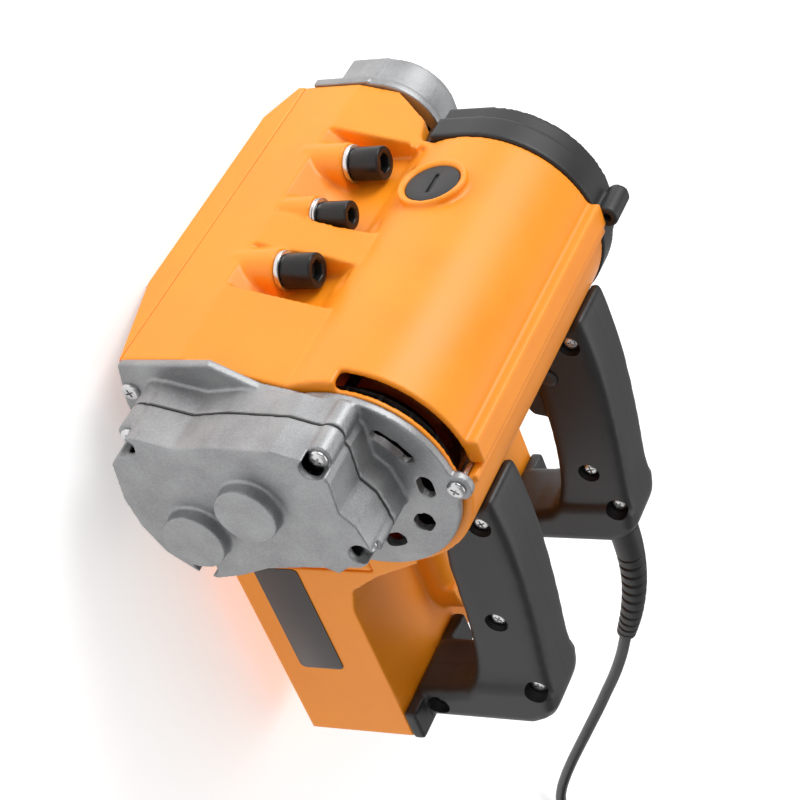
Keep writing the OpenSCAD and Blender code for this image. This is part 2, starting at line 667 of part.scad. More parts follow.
module socket_head(x, z, r, h, key) {
    difference() {
        rod_z(z, z + h, r, x, bolt_y);
        translate([x, bolt_y, z + h - 6]) cylinder(h = 7, r = key, $fn = 6);
    }
}
module depth_screw() {
    color([0.07, 0.07, 0.08]) {
        rod_z(53, head_z, 4.5, bolt_x[1], bolt_y);
        socket_head(bolt_x[1], head_z, 8, head_h, 4.6);
    }
}
module depth_washers() {
    color("silver") for (z = [washer_z, washer_z + 1.6]) difference() {
        rod_z(z, z + 1.4, 10, bolt_x[1], bolt_y);
        rod_z(z - 1, z + 3, 4.7, bolt_x[1], bolt_y);
    }
}
module guide_washers() {
    color("silver") for (i = [0, 2]) difference() {
        rod_z(washer_z, head_z - 0.1, 11, bolt_x[i], bolt_y);
        rod_z(washer_z - 1, head_z + 1, bolt_r + 0.2, bolt_x[i], bolt_y);
    }
}

module armature_shaft() {
    color([0.7, 0.7, 0.72]) {
        rod_x(-92, -62, 5, motor_y, motor_z);
        rod_x(-62, 130.5, 6, motor_y, motor_z);
    }
}
module armature_core() { color([0.4, 0.4, 0.42]) ring_x(24.5, 75.5, 26, 6.02, motor_y, motor_z); }
module armature_windings() {
    color([0.75, 0.35, 0.15]) {
        ring_x(14.5, 24.4, 22, 6.02, motor_y, motor_z);
        ring_x(75.6, 86, 22, 6.02, motor_y, motor_z);
        ring_x(-39, 14.4, 7, 6.02, motor_y, motor_z);
    }
}
module commutator() {
    color([0.8, 0.5, 0.3]) difference() {
        rod_x(-61, -40, 14, motor_y, motor_z);
        rod_x(-65, -30, 6.02, motor_y, motor_z);
        for (i = [0:23]) translate([0, motor_y, motor_z]) rotate([15*i, 0, 0])
            box([-62, -0.3, 12.6], [-44, 0.3, 15]);
    }
}
module cooling_fan() {
    color([0.05, 0.05, 0.06]) translate([96, motor_y, motor_z]) difference() {
        union() {
            rotate([0, 90, 0]) cylinder(h = 10, r = 12);
            rotate([0, 90, 0]) cylinder(h = 1.8, r = 49);
            for (i = [0:17]) rotate([20*i, 0, 0]) box([0.4, -1, 11], [9.6, 1, 50]);
        }
        rotate([0, 90, 0]) translate([0, 0, -1]) cylinder(h = 20, r = 6.02);
    }
}
module motor_pinion() {
    color([0.55, 0.56, 0.58]) difference() {
        gear_x(118.5, 10.5, pinion_teeth, module_a, to_idler, motor_y, motor_z);
        rod_x(110, 140, 6.02, motor_y, motor_z);
    }
}
module idler_shaft() {
    color([0.6, 0.61, 0.63]) {
        rod_x(111, 156.5, 6, idler_y, idler_z);
        gear_x(131, 13, idler_pinion_teeth, module_b, to_blade, idler_y, idler_z);
    }
}
module idler_gear() {
    color([0.55, 0.56, 0.58]) difference() {
        gear_x(119, 9.5, idler_teeth, module_a, to_idler + 180 + 180/idler_teeth, idler_y, idler_z);
        rod_x(110, 140, 6.02, idler_y, idler_z);
    }
}
module blade_shaft() {
    color([0.65, 0.66, 0.68]) rod_x(-147.8, 157.8, 8, blade_y, blade_z);
}
module blade_gear() {
    color([0.55, 0.56, 0.58]) difference() {
        union() {
            gear_x(131.5, 12, blade_teeth, module_b, to_blade + 180 + 180/blade_teeth, blade_y, blade_z);
            rod_x(124, 131.5, 13, blade_y, blade_z);
        }
        rod_x(110, 150, 8.02, blade_y, blade_z);
    }
}
module blade_flanges() {
    color("silver") {
        ring_x(stack_lo - 8, stack_lo - 0.05, 21, 8.02, blade_y, blade_z);
        ring_x(stack_hi + 0.05, stack_hi + 8, 21, 8.02, blade_y, blade_z);
    }
}
module diamond_blades() {
    color([0.5, 0.5, 0.52]) for (i = [0:blade_count - 1])
        translate([stack_lo + i*blade_step, blade_y, blade_z]) difference() {
            union() {
                translate([0.3, 0, 0]) rotate([0, 90, 0]) cylinder(h = blade_t - 0.6, r = blade_r - 7);
                rotate([0, 90, 0]) difference() {
                    cylinder(h = blade_t, r = blade_r, $fn = 96);
                    translate([0, 0, -1]) cylinder(h = blade_t + 2, r = blade_r - 7.2);
                }
            }
            rotate([0, 90, 0]) translate([0, 0, -1]) cylinder(h = blade_t + 2, r = 8.02);
            for (k = [0:8]) rotate([40*k + 8*i, 0, 0])
                box([-1, -1, blade_r - 9], [blade_t + 1, 1, blade_r + 1]);
        }
}
module blade_spacers() {
    color("silver") for (i = [0:blade_count - 2])
        ring_x(stack_lo + i*blade_step + blade_t + 0.02, stack_lo + (i + 1)*blade_step - 0.02,
            18, 8.02, blade_y, blade_z);
}
module blade_nut() {
    color("silver") difference() {
        translate([stack_lo - 18, blade_y, blade_z]) rotate([0, 90, 0]) cylinder(h = 9.9, r = 14, $fn = 6);
        rod_x(stack_lo - 20, stack_lo, 8.02, blade_y, blade_z);
    }
}

module sole_plate() {
    color([0.62, 0.63, 0.65]) difference() {
        union() {
            box([sole_far_x, face_y + 3.3, 0], [sole_near_x, guard_back - 1, sole_t]);
            for (x = [bolt_x[0], bolt_x[2]]) rod_z(sole_t, sole_t + 5, 7.8, x, bolt_y);
        }
        box([stack_lo - 4, blade_y - 61, -1], [stack_hi + 4, blade_y + 61, sole_t + 1]);
        for (x = [bolt_x[0], bolt_x[2]]) rod_z(-1, 20, bolt_r + 0.02, x, bolt_y);
        for (x = pin_x) rod_z(-1, 20, 4.02, x, pin_y);
    }
}
module guide_bolts() {
    color([0.07, 0.07, 0.08]) for (i = [0, 2]) {
        rod_z(0.5, head_z, bolt_r, bolt_x[i], bolt_y);
        socket_head(bolt_x[i], head_z, 9.5, head_h, 5.8);
    }
}
module guide_pins() { color("silver") for (x = pin_x) rod_z(0.5, 40, 4, x, pin_y); }
module plunge_springs() {
    color([0.5, 0.5, 0.55]) {
        for (x = [bolt_x[0], bolt_x[2]])
            coil_spring([x, bolt_y, sole_t + 5.1], 7.6, 0.7, guide_top - sole_t - 5.3, 3);
        for (x = pin_x) coil_spring([x, pin_y, sole_t + 0.1], 6, 0.7, guide_top - sole_t - 0.3, 4);
    }
}

module trigger() {
    color([0.14, 0.14, 0.15]) on_x(far_handle_x - 8) linear_extrude(16) difference() {
        polygon([[18.5, 141], [21, 129], [26, 126.5], [34, 127], [40, 131], [46, 140], [57, 147], [67, 153],
            [67, 164], [60, 166], [20, 158]]);
        translate([62, 161]) circle(r = 2.6);
    }
    color("silver") rod_x(far_handle_x - 8, far_handle_x + 8, 2.55, 62, 161);
}
module trigger_spring() {
    color("silver") coil_spring([far_handle_x, 34, 166.4], 3, 0.4, 4, 3);
}
module lock_button() {
    color([0.1, 0.1, 0.11]) rod_x(-60.2, -49, 5.5, lock_y, lock_z);
}

module cord_boot() {
    color([0.06, 0.06, 0.07]) sweep(smooth(boot_route, 2), [for (i = [0:14]) 9.5 - 3.3*i/14], 12);
}
module mains_lead() {
    color([0.05, 0.05, 0.06]) for (route = [lead_route, tail_route]) let (points = smooth(route, 3))
        sweep(points, [for (p = points) lead_d/2], 10);
}
module lead_coil() {
    color([0.05, 0.05, 0.06]) translate([coil_pos[0], coil_pos[1], 0])
        rotate_extrude() translate([coil_d/2 - 13, 0.05]) square([26, 30.6]);
}
module coil_tie() {
    color([0.1, 0.1, 0.1]) translate([coil_pos[0], coil_pos[1], 0]) rotate(70) difference() {
        translate([coil_d/2 - 15, -5, 0]) cube([30, 10, 32.3]);
        translate([coil_d/2 - 13.7, -6, -1]) cube([27.4, 12, 31.9]);
    }
}
module mains_plug() {
    color([0.06, 0.06, 0.07]) translate([-13.4, 472, 18]) rotate([90, 0, 0]) {
        cylinder(h = 36, r1 = 9, r2 = 18);
        translate([0, 0, 36]) cylinder(h = 8, r = 18);
        for (x = [-9.5, 9.5]) translate([x, 0, 44]) cylinder(h = 19, r = 2.4);
    }
}

upper_housing();
lower_housing();
dust_skirt();
end_cap();
bearing_bulkhead();
gear_case_body();
gear_case_cover();
cover_gasket();
cover_screws();
flange_screws();
outboard_casting();
outboard_screws();
stator_core();
field_coils();
brush_holders();
carbon_brushes();
brush_springs();
brush_caps();
label_plate();
near_handle_outer();
near_handle_inner();
far_handle_outer();
far_handle_inner();
handle_screws();
switch_body();
cord_clamp();
motor_bearings();
idler_bearings();
blade_bearings();
depth_screw();
depth_washers();
guide_washers();
armature_shaft();
armature_core();
armature_windings();
commutator();
cooling_fan();
motor_pinion();
idler_shaft();
idler_gear();
blade_shaft();
blade_gear();
blade_flanges();
diamond_blades();
blade_spacers();
blade_nut();
sole_plate();
guide_bolts();
guide_pins();
plunge_springs();
trigger();
trigger_spring();
lock_button();
cord_boot();
mains_lead();
lead_coil();
coil_tie();
mains_plug();
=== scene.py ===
"""Wall chaser: orange guard and motor barrel, cast gear case, two D-handles and a mains lead."""
from math import cos, pi, radians, sin

import bpy
from mathutils import Matrix, Vector


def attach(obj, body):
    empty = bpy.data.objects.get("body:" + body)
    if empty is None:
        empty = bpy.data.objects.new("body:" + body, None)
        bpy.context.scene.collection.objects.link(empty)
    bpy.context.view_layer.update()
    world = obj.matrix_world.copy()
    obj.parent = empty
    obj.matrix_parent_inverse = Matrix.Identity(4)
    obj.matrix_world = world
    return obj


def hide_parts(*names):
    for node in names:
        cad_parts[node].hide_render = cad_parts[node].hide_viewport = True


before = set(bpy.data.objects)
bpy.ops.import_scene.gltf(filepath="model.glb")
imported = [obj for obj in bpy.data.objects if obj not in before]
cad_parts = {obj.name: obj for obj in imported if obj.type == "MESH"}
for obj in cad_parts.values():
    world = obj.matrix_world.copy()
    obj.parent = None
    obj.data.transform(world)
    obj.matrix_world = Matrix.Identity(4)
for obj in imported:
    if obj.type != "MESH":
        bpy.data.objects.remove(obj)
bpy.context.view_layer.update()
MM = 0.001


# ---- Camera ---------------------------------------------------------------------------------
# A long lens looks down on the gear case end, rolled so that the tool's +Z side is to the right.
camera_right = Vector((-0.3703, 0.3203, 0.8719))
camera_up = Vector((-0.6658, -0.7461, -0.0087))
camera_back = Vector((0.6477, -0.5838, 0.4896))
camera_data = bpy.data.cameras.new("camera")
camera_data.lens = 103.5
camera_data.sensor_width = 36
camera_data.clip_end = 20
camera = bpy.data.objects.new("camera", camera_data)
camera.matrix_world = Matrix.Translation((0.8247, -0.7602, 0.7153)) @ Matrix(
    (camera_right, camera_up, camera_back)
).transposed().to_4x4()
bpy.context.collection.objects.link(camera)
bpy.context.scene.camera = camera
bpy.context.scene.view_settings.view_transform = "Standard"


# ---- Cord boot ------------------------------------------------------------------------------
# Rubber strain relief moulded with rings, 100 mm long, held in the end of the far handle's foot
# and tapering from 19 to 12.4 mm.
def only(piece):
    """Leave object mode with this piece alone selected and active."""
    if bpy.context.object and bpy.context.object.mode != "OBJECT":
        bpy.ops.object.mode_set(mode="OBJECT")
    bpy.ops.object.select_all(action="DESELECT")
    piece.select_set(True)
    bpy.context.view_layer.objects.active = piece
    return piece


def finish(name, colours, roughness, metal=0.0, grain=1.2, relief=0.06, patch=25, worn=None, coat=0.0,
           stretch=(1, 1, 1), worn_from=0.54):
    """Solid finish: two tones in soft patches, a fine grain in the surface, and paler worn edges."""
    material = bpy.data.materials.new(name)
    material.use_nodes = True
    nodes, links = material.node_tree.nodes, material.node_tree.links
    shader = nodes["Principled BSDF"]
    shader.inputs["Metallic"].default_value = metal
    shader.inputs["Coat Weight"].default_value = coat
    shader.inputs["Coat Roughness"].default_value = 0.25
    place = nodes.new("ShaderNodeTexCoord")
    turn = nodes.new("ShaderNodeMapping")
    turn.inputs["Scale"].default_value = stretch
    links.new(place.outputs["Object"], turn.inputs["Vector"])
    broad = nodes.new("ShaderNodeTexNoise")
    broad.inputs["Scale"].default_value = 1000 / patch
    broad.inputs["Detail"].default_value = 4
    fine = nodes.new("ShaderNodeTexNoise")
    fine.inputs["Scale"].default_value = 1000 / grain
    fine.inputs["Detail"].default_value = 3
    links.new(turn.outputs["Vector"], broad.inputs["Vector"])
    links.new(turn.outputs["Vector"], fine.inputs["Vector"])
    tone = nodes.new("ShaderNodeValToRGB")
    tone.color_ramp.elements[0].position = 0.32
    tone.color_ramp.elements[1].position = 0.68
    tone.color_ramp.elements[0].color = (*colours[0], 1)
    tone.color_ramp.elements[1].color = (*colours[1], 1)
    mixed = nodes.new("ShaderNodeMath")
    mixed.operation = "MULTIPLY_ADD"
    links.new(fine.outputs["Fac"], mixed.inputs[0])
    mixed.inputs[1].default_value = 0.45
    half = nodes.new("ShaderNodeMath")
    half.operation = "MULTIPLY"
    links.new(broad.outputs["Fac"], half.inputs[0])
    half.inputs[1].default_value = 0.55
    links.new(half.outputs[0], mixed.inputs[2])
    links.new(mixed.outputs[0], tone.inputs["Fac"])
    colour = tone.outputs["Color"]
    if worn:
        edges = nodes.new("ShaderNodeNewGeometry")
        rubbed = nodes.new("ShaderNodeMapRange")
        rubbed.inputs["From Min"].default_value = worn_from
        rubbed.inputs["From Max"].default_value = worn_from + 0.08
        rubbed.inputs["To Max"].default_value = 0.8
        links.new(edges.outputs["Pointiness"], rubbed.inputs["Value"])
        broken = nodes.new("ShaderNodeMath")
        broken.operation = "MULTIPLY"
        links.new(rubbed.outputs["Result"], broken.inputs[0])
        links.new(broad.outputs["Fac"], broken.inputs[1])
        edge_mix = nodes.new("ShaderNodeMix")
        edge_mix.data_type = "RGBA"
        edge_mix.inputs["B"].default_value = (*worn, 1)
        links.new(broken.outputs[0], edge_mix.inputs["Factor"])
        links.new(colour, edge_mix.inputs["A"])
        colour = edge_mix.outputs["Result"]
    links.new(colour, shader.inputs["Base Color"])
    dull = nodes.new("ShaderNodeMapRange")
    dull.inputs["From Min"].default_value = 0.3
    dull.inputs["From Max"].default_value = 0.7
    dull.inputs["To Min"].default_value = roughness[0]
    dull.inputs["To Max"].default_value = roughness[1]
    links.new(mixed.outputs[0], dull.inputs["Value"])
    links.new(dull.outputs["Result"], shader.inputs["Roughness"])
    bump = nodes.new("ShaderNodeBump")
    bump.inputs["Strength"].default_value = 0.5
    bump.inputs["Distance"].default_value = relief * MM
    links.new(fine.outputs["Fac"], bump.inputs["Height"])
    links.new(bump.outputs["Normal"], shader.inputs["Normal"])
    return material


def tube_curve(name, route, radius, radii=None, kind="BEZIER", sides=6):
    """Round curve through the route's points, given in mm."""
    data = bpy.data.curves.new(name, "CURVE")
    data.dimensions = "3D"
    data.bevel_depth = radius * MM
    data.bevel_resolution = sides
    data.resolution_u = 5
    data.use_fill_caps = True
    line = data.splines.new(kind)
    points = line.bezier_points if kind == "BEZIER" else line.points
    points.add(len(route) - 1)
    for i, (point, place) in enumerate(zip(points, route)):
        where = [v * MM for v in place]
        if kind == "BEZIER":
            point.co = where
            point.handle_left_type = point.handle_right_type = "AUTO"
        else:
            point.co = (*where, 1)
        point.radius = radii[i] / radius if radii else 1
    piece = bpy.data.objects.new(name, data)
    bpy.context.collection.objects.link(piece)
    return piece


def along(route, steps):
    """More points on a smooth line through a route."""
    made = []
    for i in range(len(route) - 1):
        a, b, c, d = (Vector(route[max(0, min(len(route) - 1, i + k))]) for k in (-1, 0, 1, 2))
        for k in range(steps):
            f = k / steps
            made.append(0.5 * (2 * b + (c - a) * f + (2 * a - 5 * b + 4 * c - d) * f * f
                               + (3 * b - a - 3 * c + d) * f ** 3))
    return made + [Vector(route[-1])]


rubber = finish("rubber", ((0.011, 0.011, 0.012), (0.02, 0.02, 0.021)), (0.42, 0.58), grain=0.8,
                relief=0.05)
boot_route = [(-60, 136, 162), (-60, 150, 161.6), (-60, 165, 160), (-60, 180, 157), (-60, 195, 152.6),
              (-60, 210, 147), (-60.4, 222, 141.5), (-61, 231, 137)]
boot_line = along(boot_route, 16)
boot_radii = []
for i in range(len(boot_line)):
    t = i / (len(boot_line) - 1)
    r = 9.4 - 3.3 * t
    ringed = 0.22 < t < 0.93 and (i % 8) in (0, 1)
    boot_radii.append(r - 1.3 if ringed else r if t < 0.985 else r - 0.8)
cord_boot = tube_curve("cord_boot_rubber", boot_line, 9.5, boot_radii, "POLY", 7)
only(cord_boot)
bpy.ops.object.convert(target="MESH")
cord_boot = bpy.context.object
cord_boot.data.materials.append(rubber)
bpy.ops.object.shade_smooth_by_angle(angle=radians(50))
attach(cord_boot, "tool_body")
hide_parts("cord_boot")


# ---- Mains lead -----------------------------------------------------------------------------
# One rubber-sheathed lead, 7.5 mm across: out of the boot, down to the floor, and wound into
# four layers of turns with its plug lying beside them.
lead_route = [(-61, 231, 137), (-63, 243, 131.5), (-65.5, 256, 125.3), (-68, 270, 118), (-70.5, 286, 109),
              (-73, 304, 98), (-75.5, 323, 86.5), (-77.5, 342, 74.5), (-79.5, 361, 62.5), (-82, 380, 50.5),
              (-85, 399, 38.8), (-88.5, 418, 27.8), (-92.5, 437, 17.8), (-97, 456, 9.8),
              (-101.5, 475, 5.2), (-106, 493, 3.95), (-110.5, 511, 3.95)]
tail_route = [(-13.4, 526, 26.9), (-13.4, 510, 26.4), (-13.4, 497, 23.5), (-13.4, 484, 19.6),
              (-13.4, 472, 18)]
coil_middle = (-62, 541)
coil_start = 192.8
# Turns wound so far, radius and height: in, up a layer, out, and so on
winding = [(0, 54.3, 3.95), (2.1, 37.5, 3.95), (2.45, 37.5, 11.6), (4.45, 53.5, 11.6), (4.8, 53.5, 19.25),
           (6.8, 37.5, 19.25), (7.15, 37.5, 26.9), (8.5356, 48.6, 26.9)]
coil_points = 137


def wound(turns):
    """Point on the coil after so many turns."""
    for (a, ra, za), (b, rb, zb) in zip(winding, winding[1:]):
        if turns <= b + 1e-9:
            f = (turns - a) / (b - a)
            break
    r, z = ra + (rb - ra) * f, za + (zb - za) * f
    angle = radians(coil_start - 360 * turns)
    return coil_middle[0] + r * cos(angle), coil_middle[1] + r * sin(angle), z


coil = [wound(winding[-1][0] * i / (coil_points - 1)) for i in range(coil_points)]
lead_line = lead_route + coil + tail_route
mains_lead = tube_curve("mains_lead_sheath", lead_line, 3.75)
sheath = finish("sheath", ((0.012, 0.012, 0.013), (0.022, 0.022, 0.023)), (0.38, 0.52), grain=0.6,
                relief=0.03)
mains_lead.data.materials.append(sheath)
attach(mains_lead, "tool_body")
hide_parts("mains_lead", "lead_coil")


# ---- Plug -----------------------------------------------------------------------------------
# Round two-pin plug moulded on the lead, with finger ribs, a flat face and nickel pins.
def turned(name, profile, start, direction, sides=48):
    """Closed turned shape: (distance, radius) pairs along an axis, in mm."""
    bpy.ops.object.select_all(action="DESELECT")
    bpy.ops.mesh.primitive_circle_add(vertices=sides, radius=profile[0][1] * MM, fill_type="NGON")
    piece = bpy.context.object
    piece.name = piece.data.name = name
    bpy.ops.object.mode_set(mode="EDIT")
    bpy.ops.mesh.select_all(action="SELECT")
    for (d0, r0), (d1, r1) in zip(profile, profile[1:]):
        bpy.ops.mesh.extrude_region_move(TRANSFORM_OT_translate={"value": (0, 0, (d1 - d0) * MM)})
        bpy.ops.transform.resize(value=(r1 / r0, r1 / r0, 1))
    bpy.ops.mesh.select_all(action="SELECT")
    bpy.ops.mesh.normals_make_consistent(inside=False)
    bpy.ops.object.mode_set(mode="OBJECT")
    piece.rotation_euler = Vector(direction).to_track_quat("Z", "Y").to_euler()
    piece.location = [v * MM for v in start]
    bpy.ops.object.transform_apply(location=True, rotation=True, scale=True)
    bpy.ops.object.shade_smooth_by_angle(angle=radians(35))
    return piece


def joined(name, pieces):
    """One piece from several."""
    only(pieces[0])
    for piece in pieces:
        piece.select_set(True)
    bpy.ops.object.join()
    pieces[0].name = pieces[0].data.name = name
    return pieces[0]


nickel = finish("nickel", ((0.62, 0.61, 0.58), (0.72, 0.71, 0.68)), (0.16, 0.3), metal=1, grain=0.5,
                relief=0.01)
plug_body = turned("plug_body", [(-2, 5.2), (0, 6.4), (7, 7), (9, 8.6), (12, 8.6), (14, 7.8), (17, 10.4),
                                 (20, 10.4),
                                 (22, 9.8), (25, 13), (28, 13), (30, 12.6), (36, 17.2), (38, 17.9), (42.6,
                                                                                                     17.9),
                                 (43.8, 17.2), (44, 16)], (-13.4, 472, 18), (0, -1, 0))
plug_body.data.materials.append(rubber)
pins = []
for x in (-22.9, -3.9):
    pin = turned("pin", [(-3, 2.3), (16, 2.3), (18, 1.9), (19, 0.9)], (x, 428, 18), (0, -1, 0), 24)
    pin.data.materials.append(nickel)
    pins.append(pin)
plug = joined("mains_plug_moulding", [plug_body] + pins)
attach(plug, "tool_body")
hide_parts("mains_plug")

# ---- Coil tie -------------------------------------------------------------------------------
# Woven hook-and-loop strap round the coil, with a lapped end.
tie_web = finish("tie_web", ((0.02, 0.02, 0.022), (0.05, 0.05, 0.055)), (0.75, 0.9), grain=0.7, relief=0.25)


def from_cad(name, *nodes):
    """Welded copy of CAD nodes' own shapes, as one piece to be worked on."""
    copies = []
    for node in nodes:
        piece = bpy.data.objects.new(name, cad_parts[node].data.copy())
        bpy.context.collection.objects.link(piece)
        copies.append(piece)
    piece = joined(name, copies)
    piece.data.materials.clear()
    bpy.ops.object.mode_set(mode="EDIT")
    bpy.ops.mesh.select_all(action="SELECT")
    bpy.ops.mesh.remove_doubles(threshold=0.01 * MM)
    bpy.ops.mesh.dissolve_limited(angle_limit=radians(1))
    bpy.ops.object.mode_set(mode="OBJECT")
    return piece


def apply(piece, kind, **settings):
    """Add a modifier with these settings and apply it."""
    only(piece)
    modifier = piece.modifiers.new("work", kind)
    for setting, value in settings.items():
        setattr(modifier, setting, value)
    bpy.ops.object.modifier_apply(modifier=modifier.name)
    return piece


def rounded(piece, width, segments=3, angle=35):
    return apply(piece, "BEVEL", width=width * MM, segments=segments, limit_method="ANGLE",
                 angle_limit=radians(angle), use_clamp_overlap=False)


coil_tie = rounded(from_cad("coil_tie_strap", "coil_tie"), 0.5)
coil_tie.data.materials.append(tie_web)
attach(coil_tie, "tool_body")
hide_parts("coil_tie")


# ---- Floor and light ------------------------------------------------------------------------
# A plain white floor, one broad soft light over the guard's face and a softer one at the gear case.
bpy.ops.object.select_all(action="DESELECT")
bpy.ops.mesh.primitive_plane_add(size=12, location=(0, 0, 0))
floor = bpy.context.object
floor.name = "floor"
floor.data.materials.append(finish("floor_paint", ((0.93, 0.93, 0.93), (0.95, 0.95, 0.95)), (0.6, 0.7),
                                   grain=2, relief=0.01, patch=200))
glow = floor.data.materials[0].node_tree.nodes["Principled BSDF"]
glow.inputs["Emission Color"].default_value = (1, 1, 1, 1)
glow.inputs["Emission Strength"].default_value = 0.4


def softbox(name, place, target, size, power):
    data = bpy.data.lights.new(name, "AREA")
    data.shape = "SQUARE"
    data.size = size
    data.energy = power
    light = bpy.data.objects.new(name, data)
    light.location = place
    light.rotation_euler = (Vector(target) - Vector(place)).to_track_quat("-Z", "Y").to_euler()
    bpy.context.collection.objects.link(light)


softbox("key", (-1.0, -1.6, 1.2), (0, -0.05, 0.1), 1.2, 34)
softbox("side", (1.7, -0.7, 0.7), (0, 0, 0.08), 1.2, 3)
softbox("over", (-0.7, 0.7, 2.0), (0, 0, 0.1), 1.8, 16)
world = bpy.data.worlds.new("studio")
world.use_nodes = True
world.node_tree.nodes["Background"].inputs["Color"].default_value = (1, 1, 1, 1)
world.node_tree.nodes["Background"].inputs["Strength"].default_value = 0.38
bpy.context.scene.world = world


# ---- Guard and motor barrel -----------------------------------------------------------------
# Orange ABS moulding: the flat face over the blades, the sloping side with three bolt noses, and
# the near half of the motor barrel. Moulded in one, so every corner has a small radius.
def melted(piece, voxel, smooth, most=None):
    """Fuse overlapping shells and run small radii round every corner, as a mould leaves them."""
    apply(piece, "REMESH", mode="VOXEL", voxel_size=voxel * MM)
    apply(piece, "SMOOTH", factor=0.5, iterations=smooth)
    faces = 2 * len(piece.data.polygons)
    if most and faces > most:
        apply(piece, "DECIMATE", ratio=most / faces)
    only(piece)
    bpy.ops.object.shade_smooth()
    return piece


orange = finish("orange_plastic", ((0.92, 0.27, 0.006), (0.98, 0.32, 0.010)), (0.36, 0.48), grain=0.9,
                relief=0.035,
                patch=40, worn=(1.0, 0.52, 0.12))
upper = from_cad("upper_housing_moulding", "upper_housing")
bpy.ops.object.select_all(action="DESELECT")
bpy.ops.mesh.primitive_torus_add(major_radius=18.4 * MM, minor_radius=1.7 * MM, major_segments=72,
                                 minor_segments=12, rotation=(radians(90), 0, 0),
                                 location=(-50 * MM, -127.3 * MM, 131 * MM))
ring = bpy.context.object
bpy.ops.object.transform_apply(location=True, rotation=True, scale=True)
upper = joined("upper_housing_moulding", [upper, ring])
melted(upper, 1.15, 5, 190000)
upper.data.materials.append(orange)
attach(upper, "tool_body")
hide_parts("upper_housing")

# ---- Lower housing --------------------------------------------------------------------------
# The box that closes the back of the tool and the far half of the barrel, in the same plastic.
lower = from_cad("lower_housing_moulding", "lower_housing")
melted(lower, 1.2, 4, 190000)
lower.data.materials.append(orange)
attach(lower, "tool_body")
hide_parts("lower_housing")

# ---- Dust skirt -----------------------------------------------------------------------------
# Flexible lip along the guard's lower edge, in the housing's orange.
skirt = rounded(from_cad("dust_skirt_lip", "dust_skirt"), 0.8)
skirt.data.materials.append(orange)
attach(skirt, "tool_body")
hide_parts("dust_skirt")

# ---- End cap --------------------------------------------------------------------------------
# Black vented cap over the commutator end of the motor.
black = finish("black_plastic", ((0.010, 0.010, 0.011), (0.018, 0.018, 0.020)), (0.42, 0.56), grain=0.8,
               relief=0.06, patch=30, worn=(0.07, 0.07, 0.075))
end_cap = from_cad("end_cap_moulding", "end_cap")
melted(end_cap, 1.0, 4, 120000)
end_cap.data.materials.append(black)
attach(end_cap, "tool_body")
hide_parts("end_cap")

# ---- Gear case ------------------------------------------------------------------------------
# Two sand-blasted aluminium castings with a paper gasket between them: the body with its slotted
# plate at the motor, and the cover with the two bearing bosses.
def prism(name, outline, low, high):
    """Solid between two X planes from an outline in Y and Z, in mm."""
    bpy.ops.object.select_all(action="DESELECT")
    bpy.ops.mesh.primitive_circle_add(vertices=len(outline), radius=MM, fill_type="NGON")
    piece = bpy.context.object
    piece.name = piece.data.name = name
    for vertex, (y, z) in zip(piece.data.vertices, outline):
        vertex.co = (low * MM, y * MM, z * MM)
    bpy.ops.object.mode_set(mode="EDIT")
    bpy.ops.mesh.select_all(action="SELECT")
    bpy.ops.mesh.extrude_region_move(TRANSFORM_OT_translate={"value": ((high - low) * MM, 0, 0)})
    bpy.ops.mesh.select_all(action="SELECT")
    bpy.ops.mesh.normals_make_consistent(inside=False)
    bpy.ops.object.mode_set(mode="OBJECT")
    return piece


def cut(piece, tool):
    """Take one shape out of another and drop it."""
    apply(piece, "BOOLEAN", object=tool, operation="DIFFERENCE", solver="MANIFOLD")
    bpy.data.objects.remove(tool)
    return piece


def rod(name, start, direction, length, radius, sides=40):
    return turned(name, [(0, radius), (length, radius)], start, direction, sides)


cast = finish("cast_aluminium", ((0.25, 0.252, 0.26), (0.42, 0.425, 0.43)), (0.4, 0.58), metal=0.8,
              grain=0.9,
              relief=0.3, patch=18, worn=(0.72, 0.73, 0.74))
case_body = from_cad("gear_case_body_casting", "gear_case_body")
melted(case_body, 0.8, 4, 150000)
for first, last, half in ((111, 146, 4.1), (79, 96, 4.6), (43, 57, 5.6), (5, 22, 4.6)):
    outline = []
    for i in range(28):
        along_it, across = cos(2 * pi * i / 28), sin(2 * pi * i / 28)
        along_it, across = (abs(v) ** 0.55 * (1 if v > 0 else -1) for v in (along_it, across))
        a, r = radians((first + last) / 2 + along_it * (last - first) / 2), 40.6 + across * half
        outline.append((-63.5 + r * cos(a), 131 + r * sin(a)))
    cut(case_body, prism("vent", outline, 98, 116.5))
only(case_body)
bpy.ops.object.shade_smooth_by_angle(angle=radians(38))
case_body.data.materials.clear()
case_cover = from_cad("gear_case_cover_casting", "gear_case_cover")
melted(case_cover, 0.75, 7, 170000)
outboard = from_cad("outboard_casting_shell", "outboard_casting")
melted(outboard, 0.9, 6, 120000)
for piece, node in ((case_body, "gear_case_body"), (case_cover, "gear_case_cover"), (outboard,
                                                                                     "outboard_casting")):
    piece.data.materials.append(cast)
    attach(piece, "tool_body")
    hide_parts(node)

